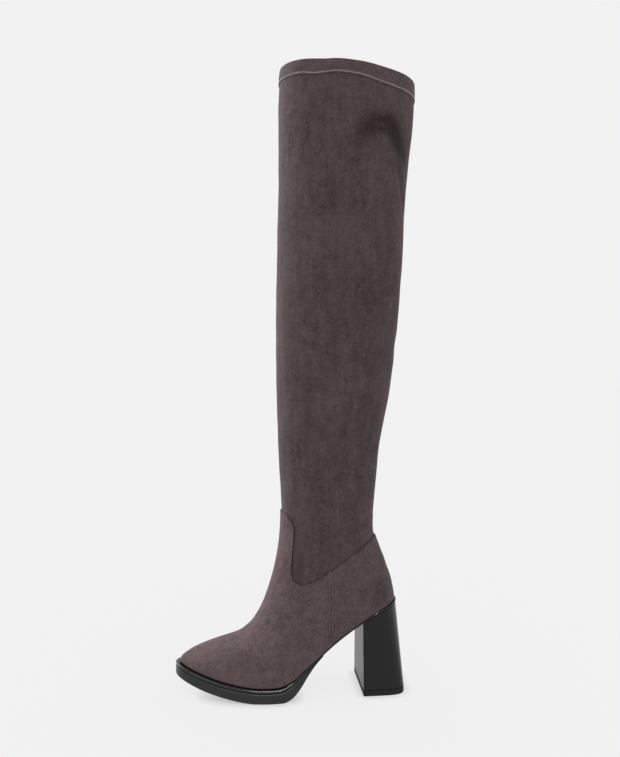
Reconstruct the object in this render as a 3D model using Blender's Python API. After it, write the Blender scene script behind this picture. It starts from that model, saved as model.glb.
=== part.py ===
# Thigh high pull-on boot on a platform sole and a flared block heel, left foot.
# Metres, +Z up. The toe points to -X and the outer side of the leg is at -Y.
# The origin lies on the heel's resting face, in line with the seat of the foot.

import math

import bmesh
import bpy
from mathutils import Vector

# Last: the shape of the foot
LAST_LENGTH = 0.217
BALL_WIDTH = 0.071
SEAT_WIDTH = 0.0525
SEAT_BACK_X = 0.0145
PLATFORM_HEIGHT = 0.0139
TOE_SPRING = 0.0151
HEEL_HEIGHT = 0.0895
TOE_SWING = 0.004
ARCH_HOLLOW = 0.004

# Leg: the ankle and the collar are the two ends of the shaft
ANKLE_LENGTH = 0.0951
ANKLE_WIDTH = 0.072
ANKLE_RISE = 0.0875
ANKLE_SETBACK = 0.06725
ANKLE_TILT = 0.018
SHAFT_HEIGHT = 0.4515
COLLAR_LENGTH = 0.1393
COLLAR_WIDTH = 0.1
COLLAR_TILT = -0.0135
COLLAR_LEAN = 0.0205

# Materials' thicknesses and the room between pieces
UPPER_WALL = 0.0015
PANEL_WALL = 0.0009
PANEL_LIFT = 0.1
FIT_GAP = 0.0003
LAP_GAP = 0.00055
BAND_HEIGHT = 0.0145
BAND_DROP = 0.0008
INSOLE_THICKNESS = 0.002
INSOLE_ROOM = 0.0006
INSOLE_BEVEL = 0.0006

# Sole
WELT_THICKNESS = 0.0034
WAIST_THICKNESS = 0.002
WELT_LEDGE = 0.0045
WELT_ROUND = 0.0009
PLATFORM_RUN = 0.142
PLATFORM_END = 0.0006
SOLE_ROUND = 0.0012
SIDE_TOP, SIDE_FOOT = 0.12, 0.86
GROOVE_DEPTH = 0.001

# Heel
BREAST_X = -0.02
HEEL_LENGTH = 0.0438
HEEL_WIDTH = 0.0612
HEEL_CORNER_POWER = 5.5
TOP_PIECE_HEIGHT = 0.0057
TOP_PIECE_CHAMFER = 0.0006

# Places that follow from the sizes above
TOE_X = SEAT_BACK_X - LAST_LENGTH
TOE_Z = PLATFORM_HEIGHT + TOE_SPRING
ANKLE_X = SEAT_BACK_X - ANKLE_SETBACK
ANKLE_Z = HEEL_HEIGHT + ANKLE_RISE
ANKLE_FRONT = (ANKLE_X - ANKLE_LENGTH / 2, ANKLE_Z - ANKLE_TILT / 2)
ANKLE_BACK = (ANKLE_X + ANKLE_LENGTH / 2, ANKLE_Z + ANKLE_TILT / 2)

# Underside of the last, from the toe tip (0) to the back of the seat (1).
# Toe lift is a share of the toe spring, heel lift of the seat's height over the platform.
LAST_BOTTOM = (
    # along, toe lift, heel lift
    (0.000, 1.00, 0.000),
    (0.055, 0.80, 0.000),
    (0.130, 0.52, 0.000),
    (0.220, 0.24, 0.000),
    (0.300, 0.07, 0.000),
    (0.370, 0.00, 0.000),
    (0.450, 0.00, 0.004),
    (0.505, 0.00, 0.065),
    (0.560, 0.00, 0.190),
    (0.630, 0.00, 0.350),
    (0.720, 0.00, 0.560),
    (0.820, 0.00, 0.755),
    (0.920, 0.00, 0.925),
    (1.000, 0.00, 1.000),
)

# Sections of the foot, each a loop from its front point to its back point.
# Front and back points run from toe and seat (0) to the ankle (1), sag is the share of the
# last's own hollow, half widths are shares of the ball, ball and seat widths, and round
# lengths are shares of the loop. Ankle is how far the loop has turned into the ankle's oval.
FOOT_SECTIONS = (
    # front run, front rise, back run, back rise, sag, ankle, fore, waist, rear, toe round,
    # toe power, heel round
    (0.000, 0.0000, 0.000, 0.000, 1.00, 0.00, 0.500, 0.415, 0.500, 0.415, 1.50, 0.120),
    (0.010, 0.0230, -0.020, 0.031, 0.97, 0.00, 0.527, 0.440, 0.530, 0.410, 1.50, 0.125),
    (0.048, 0.0460, 0.005, 0.078, 0.90, 0.00, 0.542, 0.460, 0.545, 0.400, 1.55, 0.130),
    (0.133, 0.0810, 0.063, 0.140, 0.78, 0.00, 0.540, 0.470, 0.550, 0.400, 1.60, 0.140),
    (0.280, 0.1200, 0.132, 0.207, 0.62, 0.03, 0.525, 0.470, 0.545, 0.400, 1.70, 0.160),
    (0.437, 0.1450, 0.239, 0.280, 0.48, 0.08, 0.500, 0.460, 0.535, 0.420, 1.80, 0.190),
    (0.572, 0.1750, 0.385, 0.357, 0.36, 0.15, 0.480, 0.450, 0.530, 0.440, 1.90, 0.230),
    (0.668, 0.2320, 0.505, 0.435, 0.27, 0.25, 0.465, 0.440, 0.530, 0.460, 1.95, 0.280),
    (0.742, 0.2970, 0.670, 0.518, 0.19, 0.38, 0.455, 0.440, 0.540, 0.470, 2.00, 0.340),
    (0.806, 0.3800, 0.820, 0.606, 0.13, 0.52, 0.450, 0.440, 0.550, 0.480, 2.00, 0.400),
    (0.863, 0.4890, 0.970, 0.699, 0.08, 0.68, 0.450, 0.445, 0.560, 0.490, 2.00, 0.450),
    (0.922, 0.6300, 1.029, 0.798, 0.04, 0.82, 0.455, 0.450, 0.580, 0.500, 2.00, 0.480),
    (0.973, 0.8040, 1.020, 0.896, 0.02, 0.93, 0.460, 0.460, 0.600, 0.500, 2.00, 0.500),
    (1.000, 1.0000, 1.000, 1.000, 0.00, 1.00, 0.460, 0.460, 0.600, 0.500, 2.00, 0.500),
)

# Sections of the shaft, from the ankle (0) to the collar (1).
# Length and width run from the ankle's to the collar's, lean is a share of the collar's lean
# and tilt runs from the ankle's to the collar's.
SHAFT_SECTIONS = (
    # rise, length, width, lean, tilt
    (0.070, 0.095, 0.06, 0.034, 0.25),
    (0.160, 0.222, 0.22, 0.068, 0.50),
    (0.270, 0.477, 0.44, 0.256, 0.68),
    (0.380, 0.643, 0.68, 0.395, 0.70),
    (0.490, 0.738, 0.84, 0.524, 0.70),
    (0.600, 0.801, 0.92, 0.629, 0.72),
    (0.710, 0.835, 0.96, 0.710, 0.76),
    (0.820, 0.910, 0.98, 0.829, 0.84),
    (0.910, 1.025, 0.99, 0.929, 0.93),
    (1.000, 1.000, 1.00, 1.000, 1.00),
)

# Section up to which the foot bends so much that it takes rows at half steps
INSTEP_SECTION = 13

# Where the half widths of a section are given, as shares of the loop's length
FORE_AT, WAIST_AT, REAR_AT = 0.40, 0.66, 0.88

# How far the sole stands out past the upper, as shares of the welt's ledge
LEDGE = (
    # along, out
    (0.00, 1.30),
    (0.12, 1.10),
    (0.25, 1.00),
    (0.45, 1.00),
    (0.56, 0.55),
    (0.66, 0.28),
    (0.85, 0.30),
    (1.00, 0.90),
)

# Welt's thickness, from the waist's (0) to the forefoot's (1)
WELT_TAPER = (
    # along, share
    (0.00, 1.00),
    (0.50, 1.00),
    (0.62, 0.10),
    (0.70, 0.00),
    (1.00, 0.00),
)

# Platform's thickness from the toe (0) to its end at the waist (1), as shares of its
# thickness under the ball. Where it would pass the floor it is cut flat, and rests.
PLATFORM_TAPER = (
    # along, share
    (0.000, 0.88),
    (0.150, 1.00),
    (0.350, 1.02),
    (0.500, 1.04),
    (0.680, 1.10),
    (0.780, 1.24),
    (0.835, 1.10),
    (0.890, 0.61),
    (0.950, 0.19),
    (1.000, 0.00),
)

# Edges of the two panels. Around is the place along the panel's foot, from its middle (0)
# to the side seam (1). Turn is the angle from the middle in degrees, section counts the
# rows of the two tables above from the sole up. The side seam runs from its turn at the
# foot to the panels' edge, and bows to the back by some degrees on its way up.
SIDE_SEAM_TURN = 113.4
SEAM_BOW = (
    # up, turn
    (0.00, 0.0),
    (0.25, 1.9),
    (0.64, -1.0),
    (1.00, 0.0),
)
VAMP_EDGE = (
    # around, turn, section
    (0.00, 0.0, 13.45),
    (0.16, 20.0, 13.42),
    (0.27, 34.0, 13.22),
    (0.36, 40.5, 12.95),
    (0.45, 42.0, 12.10),
    (0.56, 46.0, 11.20),
    (0.68, 56.0, 10.45),
    (0.80, 70.0, 10.02),
    (0.90, 82.0, 9.93),
    (1.00, 95.5, 9.97),
)
COUNTER_EDGE = (
    # around, turn, section
    (0.00, 0.0, 9.85),
    (0.30, 25.0, 9.93),
    (0.68, 57.0, 10.02),
    (1.00, 84.5, 9.97),
)

# Faces round each piece, crowded towards the waist of the foot by a share of their step
UPPER_COLUMNS = 44
SOLE_COLUMNS = 64
VAMP_COLUMNS, VAMP_ROWS = 40, 14
COUNTER_COLUMNS, COUNTER_ROWS = 26, 8
HEEL_COLUMNS, HEEL_ROWS = 28, 4
WAIST_CROWDING = 0.3
ROW_CROWDING = 1.2

# Steps for slopes of the form, in radians and sections, and the least angle of a sharp edge
TURN_STEP, PLACE_STEP = 0.01, 0.02
SHARP_ANGLE = math.radians(40)

# Finishes as base colour, roughness and coat
SUEDE = ((0.088, 0.069, 0.068), 0.92, 0.0)
LINING = ((0.20, 0.17, 0.15), 0.80, 0.0)
SATIN = ((0.010, 0.010, 0.011), 0.35, 0.0)
GLOSS = ((0.010, 0.010, 0.011), 0.18, 0.5)
RUBBER = ((0.010, 0.010, 0.011), 0.60, 0.0)


def on_curve(points, at):
    """Value at a place on a smooth curve through (place, value) pairs, straight past its ends."""
    places = [p[0] for p in points]
    values = [p[1] for p in points]
    last = len(points) - 1
    steps = [(values[i + 1] - values[i]) / (places[i + 1] - places[i]) for i in range(last)]
    slopes = [steps[0]]
    for i in range(1, last):
        if steps[i - 1] * steps[i] <= 0:
            slopes.append(0.0)
        else:
            slopes.append(2 * steps[i - 1] * steps[i] / (steps[i - 1] + steps[i]))
    slopes.append(steps[-1])
    if at <= places[0]:
        return values[0] + slopes[0] * (at - places[0])
    if at >= places[-1]:
        return values[-1] + slopes[-1] * (at - places[-1])
    i = max(k for k in range(last) if places[k] <= at)
    width = places[i + 1] - places[i]
    t = (at - places[i]) / width
    rise = values[i] * (1 + 2 * t) * (1 - t) ** 2 + values[i + 1] * t * t * (3 - 2 * t)
    bend = slopes[i] * t * (1 - t) ** 2 - slopes[i + 1] * t * t * (1 - t)
    return rise + bend * width


def column(table, index):
    return [(row[0], row[index]) for row in table]


def mix(a, b, share):
    return a + (b - a) * share


def last_bottom(x):
    """Height of the last's underside, which is the upper's lower edge."""
    along = (x - TOE_X) / LAST_LENGTH
    toe = on_curve(column(LAST_BOTTOM, 1), along)
    heel = on_curve(column(LAST_BOTTOM, 2), along)
    return PLATFORM_HEIGHT + TOE_SPRING * toe + (HEEL_HEIGHT - PLATFORM_HEIGHT) * heel


def foot_section(row):
    front_run, front_rise, back_run, back_rise, sag, ankle = row[:6]
    fore, waist, rear, toe_round, toe_power, heel_round = row[6:]
    return (
        mix(TOE_X, ANKLE_FRONT[0], front_run),
        mix(TOE_Z, ANKLE_FRONT[1], front_rise),
        mix(SEAT_BACK_X, ANKLE_BACK[0], back_run),
        mix(HEEL_HEIGHT, ANKLE_BACK[1], back_rise),
        sag,
        mix(fore * BALL_WIDTH, ANKLE_WIDTH / 2, ankle),
        mix(waist * BALL_WIDTH, ANKLE_WIDTH / 2, ankle),
        mix(rear * SEAT_WIDTH, ANKLE_WIDTH / 2, ankle),
        ARCH_HOLLOW * (1 - ankle),
        TOE_SWING * (1 - ankle),
        toe_round,
        toe_power,
        heel_round,
    )


def shaft_section(row):
    rise, length, width, lean, tilt = row
    middle = ANKLE_X + COLLAR_LEAN * lean
    level = ANKLE_Z + SHAFT_HEIGHT * rise
    half_length = mix(ANKLE_LENGTH, COLLAR_LENGTH, length) / 2
    half_width = mix(ANKLE_WIDTH, COLLAR_WIDTH, width) / 2
    half_tilt = mix(ANKLE_TILT, COLLAR_TILT, tilt) / 2
    ends = (middle - half_length, level - half_tilt, middle + half_length, level + half_tilt)
    return ends + (0.0, half_width, half_width, half_width, 0.0, 0.0, 0.5, 2.0, 0.5)


SECTIONS = [foot_section(row) for row in FOOT_SECTIONS]
SECTIONS += [shaft_section(row) for row in SHAFT_SECTIONS]
TOP_SECTION = len(SECTIONS) - 1


def section_at(place):
    """Sizes of the loop at any place between two sections, on a smooth curve through them."""
    place = min(max(place, 0.0), TOP_SECTION)
    i = min(int(place), TOP_SECTION - 1)
    t = place - i
    one, two = SECTIONS[i], SECTIONS[i + 1]
    before = SECTIONS[i - 1] if i > 0 else [2 * a - b for a, b in zip(one, two)]
    after = SECTIONS[i + 2] if i + 2 <= TOP_SECTION else [2 * b - a for a, b in zip(one, two)]
    sizes = []
    for a, b, c, d in zip(before, one, two, after):
        bend = (2 * a - 5 * b + 4 * c - d) * t * t + (3 * b - a - 3 * c + d) * t ** 3
        sizes.append(b + ((c - a) * t + bend) / 2)
    return sizes


def surface(turn, place):
    """Point of the boot's outer form. Turn is 0 at the toe and grows round the outer side."""
    (front_x, front_z, back_x, back_z, sag, fore, waist, rear,
     arch, swing, toe_round, toe_power, heel_round) = section_at(place)
    along = (1 - math.cos(turn)) / 2
    outer = math.sin(turn) >= 0
    narrow = 0.0 if outer else arch
    half = on_curve(
        ((0.0, fore), (FORE_AT, fore), (WAIST_AT, waist - narrow), (REAR_AT, rear), (1.0, rear)),
        along,
    )
    toe_part = max(0.0, 1 - along / toe_round)
    heel_part = max(0.0, 1 - (1 - along) / heel_round)
    end = math.sqrt(max(0.0, (1 - toe_part ** toe_power) * (1 - heel_part ** 2)))
    middle = swing * max(0.0, 1 - along / FORE_AT) ** 2
    hollow = mix(TOE_Z, HEEL_HEIGHT, along) - last_bottom(TOE_X + LAST_LENGTH * along)
    return Vector((
        mix(front_x, back_x, along),
        middle - half * end if outer else middle + half * end,
        mix(front_z, back_z, along) - sag * hollow,
    ))


def off_surface(turn, place, out):
    """Point of the form moved out along its normal, but never below the last's edge."""
    low, high = max(0.0, place - PLACE_STEP), min(TOP_SECTION, place + PLACE_STEP)
    across = surface(turn + TURN_STEP, place) - surface(turn - TURN_STEP, place)
    rising = surface(turn, high) - surface(turn, low)
    moved = surface(turn, place) + across.cross(rising).normalized() * out
    seat = FIT_GAP / 2 if out > 0 else 0.0
    moved.z = max(moved.z, last_bottom(moved.x) + seat)
    return moved


def skin(name, finish):
    colour, roughness, coat = finish
    material = bpy.data.materials.new(name)
    material.use_nodes = True
    shader = material.node_tree.nodes["Principled BSDF"]
    shader.inputs["Base Color"].default_value = (*colour, 1.0)
    shader.inputs["Roughness"].default_value = roughness
    shader.inputs["Metallic"].default_value = 0.0
    shader.inputs["Coat Weight"].default_value = coat
    return material


def piece(name, mesh, material):
    """Object of a closed bmesh, with its faces turned out and its round parts smooth."""
    bmesh.ops.recalc_face_normals(mesh, faces=mesh.faces)
    data = bpy.data.meshes.new(name)
    mesh.to_mesh(data)
    mesh.free()
    data.materials.append(material)
    data.shade_smooth()
    data.set_sharp_from_angle(angle=SHARP_ANGLE)
    made = bpy.data.objects.new(name, data)
    bpy.context.collection.objects.link(made)
    return made


def shell(name, grid, outside, inside, closed, material):
    """Sheet of even thickness over a grid of (turn, place) rows, closed round the leg or not."""
    mesh = bmesh.new()
    sides = []
    for out in (outside, inside):
        sides.append([[mesh.verts.new(off_surface(*at, out)) for at in row] for row in grid])
    rows, columns = len(grid), len(grid[0])
    spans = columns if closed else columns - 1
    for side in sides:
        for r in range(rows - 1):
            for c in range(spans):
                n = (c + 1) % columns
                mesh.faces.new((side[r][c], side[r][n], side[r + 1][n], side[r + 1][c]))
    outer, inner = sides
    for r in (0, rows - 1):
        for c in range(spans):
            n = (c + 1) % columns
            mesh.faces.new((outer[r][c], outer[r][n], inner[r][n], inner[r][c]))
    if not closed:
        for c in (0, columns - 1):
            for r in range(rows - 1):
                mesh.faces.new((outer[r][c], outer[r + 1][c], inner[r + 1][c], inner[r][c]))
    return piece(name, mesh, material)


def slab(name, rings, material):
    """Solid between rings of one length, each closed across from its first to its last point."""
    mesh = bmesh.new()
    loops = [[mesh.verts.new(point) for point in ring] for ring in rings]
    count = len(loops[0])
    for one, two in zip(loops, loops[1:]):
        for i in range(count):
            n = (i + 1) % count
            mesh.faces.new((one[i], one[n], two[n], two[i]))
    for loop in (loops[0], loops[-1]):
        for i in range(count // 2 - 1):
            mesh.faces.new((loop[i], loop[i + 1], loop[count - 2 - i], loop[count - 1 - i]))
    return piece(name, mesh, material)


def turns_round(count):
    """Turns round the whole foot from its back, symmetric about the toe."""
    even = [2 * math.pi * (i + 0.5) / count - math.pi for i in range(count)]
    return [turn + WAIST_CROWDING / 2 * math.sin(2 * turn) for turn in even]


def turn_at(x):
    """Turn of the foot's lower edge at a length along the foot."""
    return math.acos(1 - 2 * (x - TOE_X) / LAST_LENGTH)


def ledge(x):
    return WELT_LEDGE * on_curve(LEDGE, (x - TOE_X) / LAST_LENGTH)


def foot_outline(turns, out, height):
    """Ring round the foot's lower edge, out by a function of its length, at a height of it."""
    ring = []
    for turn in turns:
        here = surface(turn, 0.0)
        along = surface(turn + TURN_STEP, 0.0) - surface(turn - TURN_STEP, 0.0)
        away = Vector((-along.y, along.x, 0.0)).normalized() * -out(here.x)
        x, y = here.x + away.x, here.y + away.y
        ring.append((x, y, height(x)))
    return ring


def welt_top(x):
    return last_bottom(x) - FIT_GAP


def welt_bottom(x):
    share = on_curve(WELT_TAPER, (x - TOE_X) / LAST_LENGTH)
    return welt_top(x) - mix(WAIST_THICKNESS, WELT_THICKNESS, min(1.0, max(0.0, share)))


def platform_top(x):
    return welt_bottom(x) - FIT_GAP


def platform_bottom(x):
    under_ball = PLATFORM_HEIGHT - WELT_THICKNESS - 2 * FIT_GAP
    share = on_curve(PLATFORM_TAPER, (x - TOE_X) / PLATFORM_RUN)
    return max(0.0, platform_top(x) - mix(PLATFORM_END, under_ball, max(0.0, share)))


def make_upper(material):
    fine = 2 * INSTEP_SECTION
    places = [i / 2 for i in range(fine)] + list(range(INSTEP_SECTION, TOP_SECTION + 1))
    turns = turns_round(UPPER_COLUMNS)
    grid = [[(turn, place) for turn in turns] for place in places]
    return shell("upper", grid, 0.0, -UPPER_WALL, True, material)


def make_collar_band(material):
    section_height = SHAFT_HEIGHT * (SHAFT_SECTIONS[-1][0] - SHAFT_SECTIONS[-2][0])
    top = TOP_SECTION - BAND_DROP / section_height
    lower = TOP_SECTION - BAND_HEIGHT / section_height
    turns = turns_round(UPPER_COLUMNS)
    grid = [[(turn, place) for turn in turns] for place in (lower, top)]
    return shell("collar_band", grid, FIT_GAP + PANEL_WALL, FIT_GAP, True, material)


def make_panel(name, edge, middle, seam, bow_side, columns, rows, material):
    """Panel from the lower edge of the foot up to its own edge, both sides of a middle turn."""
    trim = FIT_GAP / ANKLE_LENGTH
    grid = []
    for r in range(rows + 1):
        row = []
        for c in range(columns + 1):
            around = 2 * c / columns - 1
            side = -1 if around < 0 else 1
            turn = side * math.radians(on_curve(column(edge, 1), abs(around)))
            place = on_curve(column(edge, 2), abs(around))
            share = (r / rows) ** ROW_CROWDING
            bow = bow_side * math.radians(on_curve(SEAM_BOW, share))
            out = mix(around * seam, turn, share) + around * (bow - trim)
            row.append((middle + out, mix(PANEL_LIFT, place, share)))
        grid.append(row)
    return shell(name, grid, LAP_GAP + PANEL_WALL, LAP_GAP, False, material)


def make_insole(material):
    turns = turns_round(SOLE_COLUMNS)
    levels = ((INSOLE_BEVEL + INSOLE_ROOM, INSOLE_THICKNESS), (INSOLE_ROOM, 0.0))
    rings = []
    for inset, height in levels:
        ring = [off_surface(turn, 0.0, -UPPER_WALL - inset) for turn in turns]
        rings.append([(at.x, at.y, last_bottom(at.x) + height) for at in ring])
    return slab("insole", rings, material)


def make_welt(material):
    turns = turns_round(SOLE_COLUMNS)
    rings = [
        foot_outline(turns, lambda x: ledge(x) - WELT_ROUND, welt_top),
        foot_outline(turns, ledge, lambda x: welt_top(x) - WELT_ROUND),
        foot_outline(turns, ledge, lambda x: welt_bottom(x) + WELT_ROUND / 2),
        foot_outline(turns, lambda x: ledge(x) - GROOVE_DEPTH, welt_bottom),
    ]
    return slab("welt", rings, material)


def make_outsole(material):
    end = turn_at(TOE_X + PLATFORM_RUN)
    clear = math.pi / SOLE_COLUMNS
    turns = [-end] + [turn for turn in turns_round(SOLE_COLUMNS) if abs(turn) < end - clear] + [end]

    def at_side(share):
        return lambda x: mix(platform_top(x), platform_bottom(x), share)

    rings = [
        foot_outline(turns, lambda x: ledge(x) - GROOVE_DEPTH, platform_top),
        foot_outline(turns, ledge, at_side(SIDE_TOP)),
        foot_outline(turns, ledge, at_side(SIDE_FOOT)),
        foot_outline(turns, lambda x: ledge(x) - SOLE_ROUND, platform_bottom),
    ]
    return slab("outsole", rings, material)


def heel_foot(turn, half_length, half_width):
    """Point of the heel's resting outline, straight at the breast and round at the back."""
    back = max(0.0, math.cos(turn)) ** (2 / HEEL_CORNER_POWER)
    side = abs(math.sin(turn)) ** (2 / HEEL_CORNER_POWER)
    return BREAST_X + half_length * back, -math.copysign(half_width * side, math.sin(turn))


def heel_turns():
    return [math.pi * (i / (HEEL_COLUMNS - 1) - 0.5) for i in range(HEEL_COLUMNS)]


def make_heel(material):
    start = turn_at(BREAST_X)
    seat_turns = [math.pi - (math.pi - start) * turn / (math.pi / 2) for turn in heel_turns()]

    def under_welt(x):
        return welt_bottom(x) - FIT_GAP

    seat = foot_outline(seat_turns, lambda x: ledge(x) - GROOVE_DEPTH / 2, under_welt)
    seat = [(max(BREAST_X, x), y, under_welt(max(BREAST_X, x))) for x, y, z in seat]
    seat[0] = (BREAST_X, *seat[0][1:])
    seat[-1] = (BREAST_X, *seat[-1][1:])
    foot = [heel_foot(turn, HEEL_LENGTH, HEEL_WIDTH / 2) for turn in heel_turns()]
    floor = TOP_PIECE_HEIGHT + FIT_GAP
    rings = []
    for level in range(HEEL_ROWS + 1):
        share = level / HEEL_ROWS
        ring = []
        for (sx, sy, sz), (fx, fy) in zip(seat, foot):
            ring.append((mix(sx, fx, share), mix(sy, fy, share), mix(sz, floor, share)))
        rings.append(ring)
    return slab("heel", rings, material)


def make_top_piece(material):
    rings = []
    levels = ((0.0, TOP_PIECE_HEIGHT), (0.0, TOP_PIECE_CHAMFER), (TOP_PIECE_CHAMFER, 0.0))
    for inset, height in levels:
        ring = []
        for turn in heel_turns():
            x, y = heel_foot(turn, HEEL_LENGTH - inset, HEEL_WIDTH / 2 - inset)
            ring.append((x, y, height))
        rings.append(ring)
    return slab("top_piece", rings, material)


def main():
    for old in list(bpy.data.objects):
        bpy.data.objects.remove(old, do_unlink=True)
    seam = math.radians(SIDE_SEAM_TURN)
    make_upper(skin("shaft_suede", SUEDE))
    vamp = skin("vamp_suede", SUEDE)
    make_panel("vamp", VAMP_EDGE, 0.0, seam, 1, VAMP_COLUMNS, VAMP_ROWS, vamp)
    behind = math.pi - seam
    counter = skin("counter_suede", SUEDE)
    make_panel("counter", COUNTER_EDGE, math.pi, behind, -1, COUNTER_COLUMNS, COUNTER_ROWS, counter)
    make_collar_band(skin("hem_suede", SUEDE))
    make_insole(skin("sock_lining", LINING))
    make_welt(skin("welt_satin", SATIN))
    make_outsole(skin("outsole_satin", SATIN))
    make_heel(skin("heel_gloss", GLOSS))
    make_top_piece(skin("top_piece_rubber", RUBBER))


main()
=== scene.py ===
import math

import bmesh
import bpy
import numpy as np
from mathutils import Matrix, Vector


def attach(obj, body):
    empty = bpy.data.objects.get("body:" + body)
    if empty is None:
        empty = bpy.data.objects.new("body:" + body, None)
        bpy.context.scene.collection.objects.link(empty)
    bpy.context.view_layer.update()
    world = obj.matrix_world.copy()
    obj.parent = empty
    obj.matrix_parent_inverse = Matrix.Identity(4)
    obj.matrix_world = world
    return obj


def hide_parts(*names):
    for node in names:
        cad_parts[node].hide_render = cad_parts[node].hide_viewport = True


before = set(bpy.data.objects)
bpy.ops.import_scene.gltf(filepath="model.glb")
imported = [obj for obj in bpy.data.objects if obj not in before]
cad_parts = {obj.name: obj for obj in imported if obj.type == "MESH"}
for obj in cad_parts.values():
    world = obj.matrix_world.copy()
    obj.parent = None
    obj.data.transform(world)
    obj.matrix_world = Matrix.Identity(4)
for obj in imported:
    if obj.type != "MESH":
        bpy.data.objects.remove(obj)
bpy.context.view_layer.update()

# Thigh high pull-on boot, left foot. Metres, +Z up, toe to -X, outer side of the leg at -Y.
# Every shown piece is drawn on the same form as its solid, with finer faces.

last = {
    "length": 0.217, "ballWidth": 0.071, "seatWidth": 0.0525, "seatBack": 0.0145,
    "platform": 0.0139, "toeSpring": 0.0151, "heelHeight": 0.0895,
    "toeSwing": 0.004, "archHollow": 0.004,
}
leg = {
    "ankleLength": 0.0951, "ankleWidth": 0.072, "ankleRise": 0.0875, "ankleSetback": 0.06725,
    "ankleTilt": 0.018, "shaftHeight": 0.4515, "collarLength": 0.1393, "collarWidth": 0.1,
    "collarTilt": -0.0135, "collarLean": 0.0205,
}
wall = {"upper": 0.0015, "panel": 0.0009, "gap": 0.0003, "lap": 0.00055}

toeX = last["seatBack"] - last["length"]
toeZ = last["platform"] + last["toeSpring"]
ankleX = last["seatBack"] - leg["ankleSetback"]
ankleZ = last["heelHeight"] + leg["ankleRise"]
ankleFront = (ankleX - leg["ankleLength"] / 2, ankleZ - leg["ankleTilt"] / 2)
ankleBack = (ankleX + leg["ankleLength"] / 2, ankleZ + leg["ankleTilt"] / 2)

# along the foot, toe lift, heel lift
lastBottom = (
    (0.0, 1.0, 0.0), (0.055, 0.8, 0.0), (0.13, 0.52, 0.0), (0.22, 0.24, 0.0), (0.3, 0.07, 0.0),
    (0.37, 0.0, 0.0), (0.45, 0.0, 0.004), (0.505, 0.0, 0.065), (0.56, 0.0, 0.19),
    (0.63, 0.0, 0.35), (0.72, 0.0, 0.56), (0.82, 0.0, 0.755), (0.92, 0.0, 0.925), (1.0, 0.0, 1.0),
)
# front run, front rise, back run, back rise, sag, ankle share, fore, waist and rear half widths,
# toe round, toe power, heel round
footSections = (
    (0.000, 0.000, 0.000, 0.000, 1.00, 0.00, 0.500, 0.415, 0.500, 0.415, 1.50, 0.120),
    (0.010, 0.023, -0.020, 0.031, 0.97, 0.00, 0.527, 0.440, 0.530, 0.410, 1.50, 0.125),
    (0.048, 0.046, 0.005, 0.078, 0.90, 0.00, 0.542, 0.460, 0.545, 0.400, 1.55, 0.130),
    (0.133, 0.081, 0.063, 0.140, 0.78, 0.00, 0.540, 0.470, 0.550, 0.400, 1.60, 0.140),
    (0.280, 0.120, 0.132, 0.207, 0.62, 0.03, 0.525, 0.470, 0.545, 0.400, 1.70, 0.160),
    (0.437, 0.145, 0.239, 0.280, 0.48, 0.08, 0.500, 0.460, 0.535, 0.420, 1.80, 0.190),
    (0.572, 0.175, 0.385, 0.357, 0.36, 0.15, 0.480, 0.450, 0.530, 0.440, 1.90, 0.230),
    (0.668, 0.232, 0.505, 0.435, 0.27, 0.25, 0.465, 0.440, 0.530, 0.460, 1.95, 0.280),
    (0.742, 0.297, 0.670, 0.518, 0.19, 0.38, 0.455, 0.440, 0.540, 0.470, 2.00, 0.340),
    (0.806, 0.380, 0.820, 0.606, 0.13, 0.52, 0.450, 0.440, 0.550, 0.480, 2.00, 0.400),
    (0.863, 0.489, 0.970, 0.699, 0.08, 0.68, 0.450, 0.445, 0.560, 0.490, 2.00, 0.450),
    (0.922, 0.630, 1.029, 0.798, 0.04, 0.82, 0.455, 0.450, 0.580, 0.500, 2.00, 0.480),
    (0.973, 0.804, 1.020, 0.896, 0.02, 0.93, 0.460, 0.460, 0.600, 0.500, 2.00, 0.500),
    (1.000, 1.000, 1.000, 1.000, 0.00, 1.00, 0.460, 0.460, 0.600, 0.500, 2.00, 0.500),
)
# rise, length, width, lean, tilt
shaftSections = (
    (0.07, 0.095, 0.06, 0.034, 0.25), (0.16, 0.222, 0.22, 0.068, 0.50),
    (0.27, 0.477, 0.44, 0.256, 0.68), (0.38, 0.643, 0.68, 0.395, 0.70),
    (0.49, 0.738, 0.84, 0.524, 0.70), (0.60, 0.801, 0.92, 0.629, 0.72),
    (0.71, 0.835, 0.96, 0.710, 0.76), (0.82, 0.910, 0.98, 0.829, 0.84),
    (0.91, 1.025, 0.99, 0.929, 0.93), (1.00, 1.000, 1.00, 1.000, 1.00),
)
sidePlaces = (0.0, 0.40, 0.66, 0.88, 1.0)   # where fore, waist and rear half widths are given
ankleRow = len(footSections) - 1
topRow = ankleRow + len(shaftSections)


def mix(a, b, share):
    return a + (b - a) * share


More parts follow.
